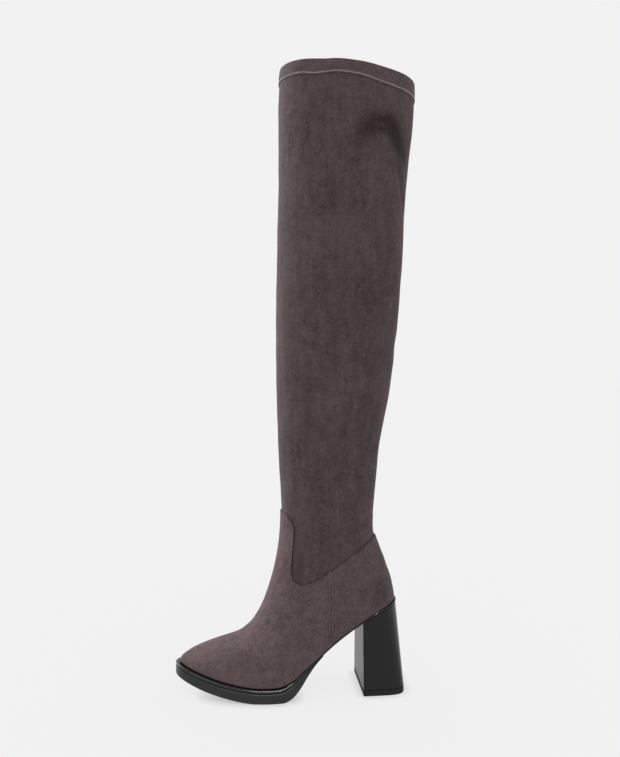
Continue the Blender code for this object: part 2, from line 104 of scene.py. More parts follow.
# Smooth curve through values at rising places, straight past its ends
def smoothCurve(places, values, at):
    places, at = np.array(places, float), np.asarray(at, float)
    values = np.stack([np.broadcast_to(v, at.shape) for v in values]).astype(float)
    steps = np.diff(values, axis=0) / np.diff(places).reshape(-1, *[1] * at.ndim)
    slopes = np.concatenate((steps[:1], np.zeros_like(steps[1:]), steps[-1:]))
    product, total = steps[:-1] * steps[1:], steps[:-1] + steps[1:]
    rising = product > 0
    slopes[1:-1][rising] = 2 * product[rising] / total[rising]
    i = np.clip(np.searchsorted(places, at, side="right") - 1, 0, len(places) - 2)
    width = places[i + 1] - places[i]
    t = np.clip((at - places[i]) / width, 0, 1)
    here, after = (np.take_along_axis(values, (i + k)[None], 0)[0] for k in (0, 1))
    slope, slopeAfter = (np.take_along_axis(slopes, (i + k)[None], 0)[0] for k in (0, 1))
    rise = here * (1 + 2 * t) * (1 - t) ** 2 + after * t * t * (3 - 2 * t)
    bend = slope * t * (1 - t) ** 2 - slopeAfter * t * t * (1 - t)
    past = slopes[0] * np.minimum(at - places[0], 0) + slopes[-1] * np.maximum(at - places[-1], 0)
    return rise + bend * width + past


def tableCurve(table, column, at):
    return smoothCurve([row[0] for row in table], [row[column] for row in table], at)


# Height of the foot's lower edge, where the upper meets the welt
def bottomAt(x):
    along = (x - toeX) / last["length"]
    toe, heel = tableCurve(lastBottom, 1, along), tableCurve(lastBottom, 2, along)
    rise = last["heelHeight"] - last["platform"]
    return last["platform"] + last["toeSpring"] * toe + rise * heel


def footSizes(row):
    frontRun, frontRise, backRun, backRise, sag, ankle, fore, waist, rear = row[:9]
    halfAnkle = leg["ankleWidth"] / 2
    return (
        mix(toeX, ankleFront[0], frontRun), mix(toeZ, ankleFront[1], frontRise),
        mix(last["seatBack"], ankleBack[0], backRun),
        mix(last["heelHeight"], ankleBack[1], backRise), sag,
        mix(fore * last["ballWidth"], halfAnkle, ankle),
        mix(waist * last["ballWidth"], halfAnkle, ankle),
        mix(rear * last["seatWidth"], halfAnkle, ankle),
        last["archHollow"] * (1 - ankle), last["toeSwing"] * (1 - ankle), *row[9:],
    )


def shaftSizes(row):
    rise, length, width, lean, tilt = row
    middle = ankleX + leg["collarLean"] * lean
    level = ankleZ + leg["shaftHeight"] * rise
    halfLength = mix(leg["ankleLength"], leg["collarLength"], length) / 2
    halfWidth = mix(leg["ankleWidth"], leg["collarWidth"], width) / 2
    halfTilt = mix(leg["ankleTilt"], leg["collarTilt"], tilt) / 2
    ends = (middle - halfLength, level - halfTilt, middle + halfLength, level + halfTilt)
    return ends + (0.0, halfWidth, halfWidth, halfWidth, 0.0, 0.0, 0.5, 2.0, 0.5)


sections = np.array([footSizes(r) for r in footSections] + [shaftSizes(r) for r in shaftSections])
sections = np.vstack((2 * sections[0] - sections[1], sections, 2 * sections[-1] - sections[-2]))


# Points of the boot's outer form. Turn is 0 at the toe and grows round the outer side,
# place counts the sections from the sole up.
def form(turn, place):
    turn, place = np.broadcast_arrays(np.asarray(turn, float), np.asarray(place, float))
    place = np.clip(place, 0, topRow)
    i = np.minimum(place.astype(int), topRow - 1)
    t = (place - i)[..., None]
    a, b, c, d = (sections[i + k] for k in range(4))
    bend = (2 * a - 5 * b + 4 * c - d) * t * t + (3 * b - a - 3 * c + d) * t ** 3
    sizes = np.moveaxis(b + ((c - a) * t + bend) / 2, -1, 0)
    frontX, frontZ, backX, backZ, sag, fore, waist, rear = sizes[:8]
    arch, swing, toeRound, toePower, heelRound = sizes[8:]
    along = (1 - np.cos(turn)) / 2
    outer = np.sin(turn) >= 0
    waist = waist - np.where(outer, 0, arch)
    half = smoothCurve(sidePlaces, (fore, fore, waist, rear, rear), along)
    toePart = np.maximum(0, 1 - along / toeRound)
    heelPart = np.maximum(0, 1 - (1 - along) / heelRound)
    end = np.sqrt(np.maximum(0, (1 - toePart ** toePower) * (1 - heelPart ** 2)))
    middle = swing * np.maximum(0, 1 - along / sidePlaces[1]) ** 2
    hollow = mix(toeZ, last["heelHeight"], along) - bottomAt(toeX + last["length"] * along)
    y = middle + half * end * np.where(outer, -1, 1)
    return np.stack((mix(frontX, backX, along), y, mix(frontZ, backZ, along) - sag * hollow), -1)


aroundStep = 0.01   # radians
upStep = 0.02   # sections


def outward(turn, place):
    low, high = np.maximum(0, place - upStep), np.minimum(topRow, place + upStep)
    across = form(turn + aroundStep, place) - form(turn - aroundStep, place)
    normal = np.cross(across, form(turn, high) - form(turn, low))
    return normal / np.linalg.norm(normal, axis=-1, keepdims=True)


# Creases: width, depth and ridge in millimetres, then (turn in degrees, section) points. Each is
# a soft trough along its points with a low ridge beside it, or a swelling where depth is below 0.
creases = {
    "hollowBehindThigh": (11.0, 3.2, 0.2, (97, 21.1), (104, 21.38), (113, 21.55), (123, 21.6),
                          (132, 21.46), (139, 21.2), (145, 20.95), (150, 20.7)),
    "hollowTail": (6.0, 0.5, 0.2, (118, 21.95), (131, 21.75)),
    "backFold": (4.0, 1.2, 0.4, (138, 20.75), (150, 20.25), (163, 19.75)),
    "backFoldLow": (7.0, 1.0, 0.4, (150, 18.6), (138, 18.2), (124, 18.05)),
    "kneeFront": (3.4, 1.2, 0.5, (22, 17.25), (52, 17.1), (78, 16.95), (100, 16.8), (121, 16.62)),
    "kneeBack": (7.0, 0.9, 0.3, (172, 17.15), (150, 16.95), (132, 16.9)),
    "kneeInner": (5.0, 0.7, 0.3, (-24, 17.2), (-60, 17.05), (-96, 16.85), (-124, 16.7)),
    "thighInner": (9.0, 1.4, 0.4, (-128, 21.6), (-146, 21.2)),
    "calfPull": (9.0, 0.5, 0.3, (60, 15.6), (82, 15.3), (108, 15.2)),
    "ankleBack": (6.0, 0.7, 0.4, (158, 12.4), (135, 11.9), (112, 11.8)),
    "ankleBackInner": (6.0, 0.6, 0.3, (-160, 12.3), (-138, 11.9), (-112, 11.8)),
    "ankleFront": (7.0, 0.5, 0.3, (60, 12.7), (80, 12.4), (104, 12.5)),
    "instepFull": (8.0, -1.15, 0.0, (-34, 6.35), (0, 6.25), (34, 6.35)),
    "throatFull": (16.0, -0.45, 0.0, (-34, 8.4), (0, 8.3), (34, 8.4)),
    "toeDip": (12.0, 0.6, 0.0, (-34, 4.4), (0, 4.3), (34, 4.4)),
}
# steps between two points, share of the depth left at the ends, widths from trough to ridge
creasing = {"steps": 6, "ends": 0.35, "ridgeAway": 2}


def creaseDepth(points):
    lift = np.zeros(points.shape[:-1])
    for width, depth, ridge, *spots in creases.values():
        turns, places = np.array(spots, float).T
        rows = np.arange(len(turns))
        steps = np.linspace(0, rows[-1], creasing["steps"] * len(rows))
        path = form(np.radians(np.interp(steps, rows, turns)), np.interp(steps, rows, places))
        near, at = np.full(lift.shape, np.inf), np.zeros(lift.shape)
        for k, (a, b) in enumerate(zip(path, path[1:])):
            along = np.clip((points - a) @ (b - a) / ((b - a) @ (b - a)), 0, 1)
            away = np.linalg.norm(points - a - along[..., None] * (b - a), axis=-1)
            at = np.where(away < near, (k + along) / (len(path) - 1), at)
            near = np.minimum(near, away)
        spread = near / (width / 1000)
        fade = mix(creasing["ends"], 1, np.sin(math.pi * at))
        beside = ridge * np.exp(-(spread - creasing["ridgeAway"]) ** 2)
        lift += (beside - depth * np.exp(-spread ** 2)) * fade / 1000
    return lift


drift = {"slow": 0.00028, "fine": 0.00012, "lowest": 0.1, "fadeIn": 0.1}


# A slow unevenness of the stretched leg, as waves with so many radians a metre
def clothDrift(points):
    x, y, z = np.moveaxis(points, -1, 0)
    slow = np.sin(z * 61 + 3.1 * np.sin(x * 37 + 1)) * np.sin(x * 83 + y * 71 + z * 19)
    fine = np.sin(z * 149 + y * 96) * np.sin(x * 131 - z * 53 + 2)
    leggy = np.clip((z - drift["lowest"]) / drift["fadeIn"], 0, 1)
    return (drift["slow"] * slow + drift["fine"] * fine) * leggy


# Points of the boot moved out from its form, with its creases
def skin(turn, place, out):
    points = form(turn, place)
    lift = out + creaseDepth(points) + clothDrift(points)
    return points + outward(turn, place) * lift[..., None]


def addObject(name, data):
    made = bpy.data.objects.new(name, data)
    bpy.context.scene.collection.objects.link(made)
    return made


# The seam attribute says where a suede piece has painted shade or a darker seam line, and where a
# sole has its tread
def makeMesh(name, points, faces, material, paintedShadeAndTread=None):
    data = bpy.data.meshes.new(name)
    data.from_pydata(points.reshape(-1, 3).tolist(), [], faces)
    if paintedShadeAndTread is not None:
        shade = data.attributes.new("seam", "FLOAT", "POINT")
        shade.data.foreach_set("value", paintedShadeAndTread.ravel().astype(np.float32))
    mesh = bmesh.new()
    mesh.from_mesh(data)
    bmesh.ops.recalc_face_normals(mesh, faces=mesh.faces)
    mesh.to_mesh(data)
    mesh.free()
    data.materials.append(material)
    data.shade_smooth()
    return addObject(name, data)


# Faces between rows of points, joined round and from the last row to the first as asked
def gridFaces(rows, columns, closed=True, looped=False, first=0):
    faces = []
    for r in range(rows if looped else rows - 1):
        for c in range(columns if closed else columns - 1):
            n, m = (c + 1) % columns, (r + 1) % rows
            faces.append([first + r * columns + c, first + r * columns + n,
                          first + m * columns + n, first + m * columns + c])
    return faces


# Sheet with two sides on one grid, closed at all its edges
def sheetMesh(name, outer, inner, material, paintedShadeAndTread):
    rows, columns = outer.shape[:2]
    count = rows * columns
    faces = gridFaces(rows, columns, False) + gridFaces(rows, columns, False, first=count)
    corners = np.arange(count).reshape(rows, columns)
    for line in (corners[0], corners[-1], corners[:, 0], corners[:, -1]):
        faces += [[a, b, b + count, a + count] for a, b in zip(line.tolist(), line[1:].tolist())]
    return makeMesh(name, np.stack((outer, inner)), faces, material, np.stack((paintedShadeAndTread, paintedShadeAndTread)))


sharpFrom = {"slab": math.radians(38), "block": math.radians(40)}


# Solid between mirrored rings, closed across from side to side at its first and last ring
def slabMesh(name, rings, material, paintedShadeAndTread=None):
    rows, count = rings.shape[:2]
    faces = gridFaces(rows, count)
    for first in (0, (rows - 1) * count):
        for i in range(count // 2 - 1):
            faces.append([first + i, first + i + 1, first + count - 2 - i, first + count - 1 - i])
    made = makeMesh(name, rings, faces, material, paintedShadeAndTread)
    made.data.set_sharp_from_angle(angle=sharpFrom["slab"])
    return made


def feed(tree, entry, item):
    if isinstance(item, Wire):
        tree.links.new(item.socket, entry)
    else:
        entry.default_value = item


# A node with its settings, then the values or links of its inputs
def addNode(tree, kind, settings=None, inputs=None, output=0):
    made = tree.nodes.new(kind)
    for key, value in (settings or {}).items():
        setattr(made, key, value)
    for key, value in (inputs or {}).items():
        feed(tree, made.inputs[key], value)
    return Wire(made.outputs[output])


def mathStep(operation, swap=False):
    def step(self, other):
        pair = {0: other, 1: self} if swap else {0: self, 1: other}
        return addNode(self.socket.id_data, "ShaderNodeMath", {"operation": operation}, pair)
    return step


# One wrapped socket of a tree. Sums on values add their Math nodes.
class Wire:
    def __init__(self, socket):
        self.socket = socket

    __add__ = mathStep("ADD")
    __radd__ = mathStep("ADD", True)
    __sub__ = mathStep("SUBTRACT")
    __rsub__ = mathStep("SUBTRACT", True)
    __mul__ = mathStep("MULTIPLY")
    __rmul__ = mathStep("MULTIPLY", True)
    __mod__ = mathStep("MODULO")


# A material and its nodes
class Finish:
    def __init__(self, name, **shaderValues):
        self.material = bpy.data.materials.new(name)
        self.material.use_nodes = True
        self.tree = self.material.node_tree
        self.shader = self.tree.nodes["Principled BSDF"]
        self.set(shaderValues)

    def set(self, values):
        for key, value in values.items():
            feed(self.tree, self.shader.inputs[key], value)

    def node(self, kind, settings=None, inputs=None, output=0):
        return addNode(self.tree, "ShaderNode" + kind, settings, inputs, output)

    def coordinates(self, stretch=(1, 1, 1)):
        where = self.node("TexCoord", output="Object")
        return self.node("Mapping", {}, {"Vector": where, "Scale": stretch})

    def noise(self, scale, detail=2.0, rough=0.5, stretch=(1, 1, 1)):
        return self.node("TexNoise", {}, {"Vector": self.coordinates(stretch), "Scale": scale,
                                          "Detail": detail, "Roughness": rough})

    def waves(self, way, scale, wander):
        return self.node("TexWave", {"bands_direction": way}, {
            "Vector": self.coordinates(), "Scale": scale, "Distortion": wander})

    # reads the seam attribute: painted shade on the suede pieces, the tread's place on the soles
    def seam(self):
        return self.node("Attribute", {"attribute_name": "seam"}, {}, "Fac")

    # 0 at one value of a wire, 1 at another
    def ramp(self, wire, low, high, kind="LINEAR"):
        return self.node("MapRange", {"interpolation_type": kind},
                         {"Value": wire, "From Min": low, "From Max": high})

    # 1 at a point, falling softly to 0 at its reach
    def spot(self, middle, reach):
        where = self.node("TexCoord", output="Object")
        away = self.node("VectorMath", {"operation": "DISTANCE"}, {0: where, 1: middle}, "Value")
        return self.ramp(away, reach, 0.0, "SMOOTHSTEP")

    def blend(self, share, one, two, kind="MIX"):
        mixed = self.tree.nodes.new("ShaderNodeMix")
        mixed.data_type = "RGBA"
        mixed.blend_type = kind
        for index, item in ((0, share), (6, one), (7, two)):
            feed(self.tree, mixed.inputs[index], item)
        return Wire(mixed.outputs[2])

    def bump(self, height, strength, distance, under=None):
        inputs = {"Height": height, "Strength": strength, "Distance": distance}
        if under is not None:
            inputs["Normal"] = under
        return self.node("Bump", {}, inputs)


def tone(colour, share):
    return tuple(part * share for part in colour) + (1.0,)


# each bump is its strength and its height in metres
suede = {
    "colour": (0.0595, 0.0435, 0.0430), "pink": (0.0650, 0.0430, 0.0440), "dark": 0.38,
    "light": 1.66, "roughness": 0.93, "specular": 0.18, "sheen": 0.09, "sheenRoughness": 0.45,
    "sheenTint": (1.0, 0.81, 0.82, 1.0), "blush": 55.0, "blushFrom": 0.45, "blushFull": 0.65,
    "paintedShadeTint": (1.0, 0.97, 0.97), "nap": 2600.0, "napBump": (0.5, 0.00022), "lie": 420.0,
    "lieStretch": (1, 1, 0.45), "lieBump": (0.30, 0.0005),
}
# patterns in the nap: kind, scale, detail, roughness, stretch up the leg, strength
napPatterns = (
    ("clouds", 30.0, 3.0, 0.6, 1, 0.90), ("clouds", 120.0, 2.0, 0.6, 1, 0.95),
    ("grain", 330.0, 2.0, 0.6, 1, 0.62), ("streaks", 210.0, 2.0, 0.6, 0.14, 1.50),
    ("streaks", 42.0, 2.0, 0.5, 0.28, 1.30), ("grain", 1100.0, 2.0, 0.6, 1, 1.35),
)


# Short matt nap: clouds where it lies one way or the other, streaks down the leg, a fine grain
def suedeFinish(name, lighter=1.0, streaks=0.34, clouds=0.42, spots=(), paintedShade=0.62):
    finish = Finish(name, **{
        "Roughness": suede["roughness"], "Specular IOR Level": suede["specular"],
        "Sheen Weight": suede["sheen"], "Sheen Roughness": suede["sheenRoughness"],
        "Sheen Tint": suede["sheenTint"],
    })
    amounts = {"clouds": clouds, "streaks": streaks, "grain": 1.0}
    share = 0.5
    for kind, scale, detail, rough, stretchUp, strength in napPatterns:
        pattern = finish.noise(scale, detail, rough, (1, 1, stretchUp))
        share = share + (pattern - 0.5) * (amounts[kind] * strength)
    for middle, reach, strength in spots:
        share = share + finish.spot(middle, reach) * strength
    share = finish.node("Clamp", {}, {"Value": share})
    blush = finish.noise(suede["blush"], 2.0)
    blush = finish.ramp(blush, suede["blushFrom"], suede["blushFull"])
    dark = tone(suede["colour"], suede["dark"] * lighter)
    light = finish.blend(blush, tone(suede["colour"], suede["light"] * lighter),
                         tone(suede["pink"], suede["light"] * lighter))
    body = finish.blend(share, dark, light)
    # painted shade from the seam attribute, multiplied into the colour
    shade = finish.blend(finish.seam(), (1, 1, 1, 1), tone(suede["paintedShadeTint"], paintedShade))
    nap = finish.noise(suede["nap"], 3.0, 0.7)
    lie = finish.noise(suede["lie"], 3.0, 0.6, suede["lieStretch"])
    soft = finish.bump(lie, *suede["lieBump"])
    finish.set({
        "Base Color": finish.blend(1.0, body, shade, "MULTIPLY"),
        "Normal": finish.bump(nap, *suede["napBump"], soft),
    })
    return finish.material


# spots are lighter or darker places: middle, reach, strength
shaftSuede = suedeFinish("shaftSuede", spots=(
    # the first darker place is painted shade in the hollow behind the thigh
    ((0.0100, -0.0380, 0.5640), 0.020, -0.16), ((0.002, -0.030, 0.425), 0.030, -0.06),
    ((-0.0712, -0.044, 0.3671), 0.011, -0.16), ((-0.0508, -0.045, 0.3398), 0.012, -0.12),
    ((-0.020, -0.038, 0.3441), 0.022, -0.12), ((-0.0333, -0.040, 0.3213), 0.020, -0.06),
), paintedShade=0.38)
vampSuede = suedeFinish("vampSuede", 1.42, 0.08, 0.50, (
    ((-0.140, -0.044, 0.0291), 0.011, -0.20), ((-0.140, -0.034, 0.0601), 0.012, -0.12),
    ((-0.1187, -0.040, 0.0489), 0.026, 0.07), ((-0.1674, -0.030, 0.0468), 0.026, 0.06),
    ((-0.0618, -0.030, 0.0797), 0.022, -0.08), ((-0.0842, -0.035, 0.1077), 0.020, -0.10),
))
counterSuede = suedeFinish("counterSuede", 1.24, 0.08, 0.50, (
    ((-0.0022, -0.024, 0.1021), 0.016, -0.24), ((-0.022, -0.032, 0.119), 0.016, 0.10),
))
hemSuede = suedeFinish("hemSuede", 1.18, 0.08, 0.45)


liningLook = {
    "dark": (0.150, 0.125, 0.112, 1), "pale": (0.230, 0.196, 0.176, 1), "cloud": 60.0,
    "weave": 1100.0, "wander": 0.6, "weaveBump": (0.35, 0.00012),
}


def liningFinish():
    finish = Finish("sockLining", **{"Roughness": 0.85, "Sheen Weight": 0.15})
    ribs = finish.waves("Z", liningLook["weave"], liningLook["wander"])
    rows = finish.waves("X", liningLook["weave"], liningLook["wander"])
    cloud = finish.noise(liningLook["cloud"], 3.0)
    finish.set({
        "Base Color": finish.blend(cloud, liningLook["dark"], liningLook["pale"]),
        "Normal": finish.bump(ribs * rows, *liningLook["weaveBump"]),
    })
    return finish.material


threadLook = {
    "pale": (0.35, 0.30, 0.285), "seam": (0.140, 0.107, 0.104), "twist": 1500.0,
    "dark": 0.75, "light": 1.2, "twistBump": (0.4, 0.0001),
}


def threadFinish(name, colour):
    finish = Finish(name, **{"Roughness": 0.6, "Sheen Weight": 0.2, "Specular IOR Level": 0.3})
    twist = finish.noise(threadLook["twist"], 2.0)
    finish.set({
        "Base Color": finish.blend(twist, tone(colour, threadLook["dark"]),
                                   tone(colour, threadLook["light"])),
        "Normal": finish.bump(twist, *threadLook["twistBump"]),
    })
    return finish.material


blackLook = {
    "tint": (1, 1, 1.04), "dark": 0.8, "light": 1.25, "cloud": 55.0, "uneven": 0.5,
    "grainStrength": 0.5, "frontEdge": 0.0002, "treadWander": 0.3, "treadBump": (0.8, 0.0005),
}


# Black sole and heel surfaces. Grain is the height of their bump in millimetres, and dullFront
# is a place on the foot's axis and how much rougher the face ahead of it is.
def blackFinish(name, base, roughness, grainSize, grain, tread=0.0, dullFront=None, index=1.42):
    finish = Finish(name, **{"IOR": index})
    cloud = finish.noise(blackLook["cloud"], 3.0)
    fine = finish.noise(grainSize, 3.0, 0.6)
    rough = roughness + (cloud - 0.5) * (roughness * blackLook["uneven"])
    if dullFront:
        edge, rougher = dullFront
        where = finish.node("TexCoord", output="Object")
        along = finish.node("SeparateXYZ", {}, {"Vector": where}, "X")
        rough = rough + finish.ramp(along, edge + blackLook["frontEdge"], edge) * rougher
    finish.set({
        "Base Color": finish.blend(cloud, tone(blackLook["tint"], base * blackLook["dark"]),
                                   tone(blackLook["tint"], base * blackLook["light"])),
        "Roughness": rough,
        "Normal": finish.bump(fine, blackLook["grainStrength"], grain / 1000),
    })
    if tread:
        ribs = finish.waves("X", tread, blackLook["treadWander"])
        finish.set({"Normal": finish.bump(ribs * finish.seam(), *blackLook["treadBump"])})
    return finish.material


liningCloth = liningFinish()
paleThread = threadFinish("paleThread", threadLook["pale"])
seamThread = threadFinish("seamThread", threadLook["seam"])
weltSatin = blackFinish("weltSatin", 0.008, 0.13, 2200.0, 0.002)
outsoleSatin = blackFinish("outsoleSatin", 0.009, 0.38, 1500.0, 0.10, tread=105.0, index=1.37)
heelGloss = blackFinish("heelGloss", 0.004, 0.13, 240.0, 0.01, dullFront=(-0.0197, 0.17),
                        index=1.36)
topRubber = blackFinish("topRubber", 0.007, 0.62, 1800.0, 0.04, tread=130.0, index=1.32)
print("finishes made")

# painted shade darkens the cloth in a crease from hollowFrom of the depth hollowFull
shaft = {
    "columns": 176, "footRows": 70, "legRows": 200, "innerRows": 60, "lowest": 0.02,
    "cloth": 0.0008, "topDrop": 0.0036, "backSeam": 0.0004, "backSeamWidth": 0.0011,
    "seamShare": 0.43, "hollowFull": 0.0022, "hollowFrom": 0.1,
}
sleeve = {"columns": 88, "footRows": 40, "legRows": 150, "lowest": 0.05, "away": 0.0001}


def turnsRound(count):
    return 2 * math.pi * (np.arange(count) + 0.5) / count - math.pi


def rowsUp(low, high, footRows, legRows):
    foot = np.linspace(low, ankleRow, footRows, endpoint=False)
    return np.concatenate((foot, np.linspace(ankleRow, high, legRows)))


sectionRise = leg["shaftHeight"] * (shaftSections[-1][0] - shaftSections[-2][0])


# The shaft's cloth, from the feather line to just under the collar's fold
def makeShaftSkin():
    turns = turnsRound(shaft["columns"])
    top = topRow - shaft["topDrop"] / sectionRise
    rows = rowsUp(shaft["lowest"], top, shaft["footRows"], shaft["legRows"])
    inside = np.linspace(top, shaft["lowest"], shaft["innerRows"])
    turn, level = np.meshgrid(turns, np.concatenate((rows, inside)))
    out = np.zeros(turn.shape)
    fromSeam = (math.pi - np.abs(turn)) * leg["ankleLength"] / 2
    seam = np.exp(-(fromSeam / shaft["backSeamWidth"]) ** 2) * (level > counterTop)
    out -= seam * shaft["backSeam"]
    out[len(rows):] = -shaft["cloth"]
    points = skin(turn, level, out)
    faces = gridFaces(*turn.shape, True, True)
    # painted shade in the deeper creases, and darker along the back seam
    hollow = -creaseDepth(form(turn, level)) / shaft["hollowFull"] - shaft["hollowFrom"]
    shade = np.maximum(seam * shaft["seamShare"], np.clip(hollow, 0, 1))
    return makeMesh("shaftSkin", points, faces, shaftSuede, shade)


def makeLining():
    turns = turnsRound(sleeve["columns"])
    top = topRow - 2 * shaft["topDrop"] / sectionRise
    rows = rowsUp(sleeve["lowest"], top, sleeve["footRows"], sleeve["legRows"])
    turn, level = np.meshgrid(turns, np.concatenate((rows, rows[::-1])))
    out = np.full(turn.shape, -shaft["cloth"] - sleeve["away"])
    out[len(rows):] = -wall["upper"]
    return makeMesh("lining", skin(turn, level, out), gridFaces(*turn.shape, True, True),
                    liningCloth)


# Panels sewn over the upper. The edge table is (around, turn in degrees, section), from the
# panel's middle to the side seam. Distances are in metres.
sideSeamTurn = 113.4
seamBow = ((0.0, 0.0), (0.25, 1.9), (0.64, -1.0), (1.0, 0.0))   # up the seam, degrees
# line is how strong a panel's painted shade is along its edges and furrow
vamp = {
    "edge": ((0.0, 0.0, 13.45), (0.16, 20.0, 13.42), (0.27, 34.0, 13.22), (0.36, 40.5, 12.95),
             (0.45, 42.0, 12.1), (0.56, 46.0, 11.2), (0.68, 56.0, 10.45), (0.8, 70.0, 10.02),
             (0.9, 82.0, 9.93), (1.0, 95.5, 9.97)),
    "columns": 150, "rows": 70, "middle": 0.0, "seam": sideSeamTurn, "bowSide": 1,
    "line": 1.0,
}
counter = {
    "edge": ((0.0, 0.0, 9.85), (0.3, 25.0, 9.93), (0.68, 57.0, 10.02), (1.0, 84.5, 9.97)),
    "columns": 90, "rows": 46, "middle": 180.0, "seam": 180.0 - sideSeamTurn, "bowSide": -1,
    "line": 0.6,
}
counterTop = counter["edge"][0][2] + 0.1
sewing = {
    "round": 0.0008, "sideRound": 0.0004, "rowIn": 0.0026, "sideRowIn": 0.00156,
    "furrow": 0.00030, "furrowWidth": 0.0008, "furrowShade": 0.45, "puff": 0.00035,
    "edgePuff": 0.4, "puffWidth": 0.006, "tuck": 0.0016, "tuckHeight": 0.0012, "lowest": 0.04,
    "edgeShade": 0.0005, "sideShadeIn": 0.0003, "footShade": 0.0014, "stitchLift": 0.00012,
    "across": 0.13, "up": 0.11,   # a panel's rough size, which sets how its rows crowd
}
# millimetres from an edge where the rows crowd
crowding = (0.0, 0.15, 0.35, 0.6, 0.9, 1.3, 1.7, 2.1, 2.5, 2.9, 3.3, 3.8, 4.6)


# Shares from 0 to 1 with even steps, crowded before 1
def crowded(count, length):
    close = 1 - np.array(crowding)[::-1] / 1000 / length
    even = np.linspace(0, close[0], count - len(crowding), endpoint=False)
    return np.concatenate((even, close))


def panelPlaces(panel, around, share):
    side = np.sign(around)
    turn = side * np.radians(tableCurve(panel["edge"], 1, np.abs(around)))
    level = tableCurve(panel["edge"], 2, np.abs(around))
    trim = wall["gap"] / 2 / leg["ankleLength"]
    bow = panel["bowSide"] * np.radians(tableCurve(seamBow, 1, np.clip(share, 0, 1)))
    swung = mix(around * math.radians(panel["seam"]), turn, share) + around * (bow - trim)
    return math.radians(panel["middle"]) + swung, mix(sewing["lowest"], level, share)


def lengthsAlong(points, axis):
    steps = np.linalg.norm(np.diff(points, axis=axis), axis=-1)
    return np.concatenate((np.zeros_like(np.take(steps, [0], axis)), np.cumsum(steps, axis)), axis)


def makePanel(name, panel, material):
    half = crowded(panel["columns"] // 2, sewing["across"])
    around, share = np.meshgrid(np.concatenate((-half[:0:-1], half)),
                                crowded(panel["rows"], sewing["up"]))
    turn, level = panelPlaces(panel, around, share)
    flat = form(turn, level)
    fromFoot, across = lengthsAlong(flat, 0), lengthsAlong(flat, 1)
    fromTop = fromFoot[-1:] - fromFoot
    fromSide = np.minimum(across, across[:, -1:] - across)
    edge = np.minimum(fromTop / sewing["round"], fromSide / sewing["sideRound"])
    edge = np.clip(edge, 0, 1)
    lift = np.sqrt(1 - (1 - edge) ** 2) * wall["panel"]
    inset = np.minimum(fromTop, fromSide)
    furrow = np.exp(-((inset - sewing["rowIn"]) / sewing["furrowWidth"]) ** 2)
    besideRow = np.exp(-((inset - sewing["rowIn"] / 2) / sewing["furrowWidth"]) ** 2)
    puffed = besideRow * sewing["edgePuff"] + 1 - np.exp(-(inset / sewing["puffWidth"]) ** 2)
    out = wall["lap"] + lift + sewing["puff"] * puffed - sewing["furrow"] * furrow
    tuck = np.exp(-(fromFoot / sewing["tuckHeight"]) ** 2) * sewing["tuck"]
    outer = skin(turn, level, out - tuck)
    inner = skin(turn, level, wall["lap"] - tuck)
    for side in (outer, inner):
        side[..., 2] = np.maximum(side[..., 2], bottomAt(side[..., 0]) + wall["gap"] / 2)
    # painted shade along the top and side edges, in the stitch furrow and at the foot where the
    # panel tucks in
    fromLine = np.minimum(fromTop, fromSide + sewing["sideShadeIn"])
    edgeShade = np.exp(-(fromLine / sewing["edgeShade"]) ** 2)
    paintedShadeAndTread = np.maximum(furrow * sewing["furrowShade"], edgeShade) * panel["line"]
    paintedShadeAndTread = np.maximum(paintedShadeAndTread, np.exp(-(fromFoot / sewing["footShade"]) ** 2))
    return sheetMesh(name, outer, inner, material, paintedShadeAndTread)


# The turned hem: a fold over the rim, outside and inside, as one closed loop of rows
hem = {
    "height": 0.0145, "outside": 0.0007, "inside": -0.0019, "puff": 0.0003, "columns": 176,
    "edgeRound": 0.0007, "edgeEnd": 0.0008, "stitchIn": 0.0019, "stitchLift": 0.0001,
    "furrow": 0.0004, "furrowWidth": 0.0008, "furrowShade": 0.5, "tuckShade": 0.6,
    "tuckIn": 0.0002, "clear": 0.0001, "foldTop": 0.0014, "foldBack": 0.0010,
}
# turn from the front in degrees, drop of the rim, more height of the hem, both in millimetres
hemShape = (
    (0, 0.0, 0.2), (30, 0.1, 0.6), (46, 0.7, 0.5), (57, 1.45, 1.8), (66, 1.9, 0.5),
    (76, 1.2, -0.4), (95, 1.0, 0.6), (114, 1.6, 3.1), (130, 1.1, 3.8), (142, 0.1, 4.2),
    (160, -0.9, 4.9), (180, -1.0, 4.9),
)


# How far below the top section a point of the hem lies, in metres
def hemDrop(turn, down):
    around = np.abs(np.degrees(turn))
    rim, taller = tableCurve(hemShape, 1, around), tableCurve(hemShape, 2, around)
    return down + (rim + taller * down / hem["height"]) / 1000


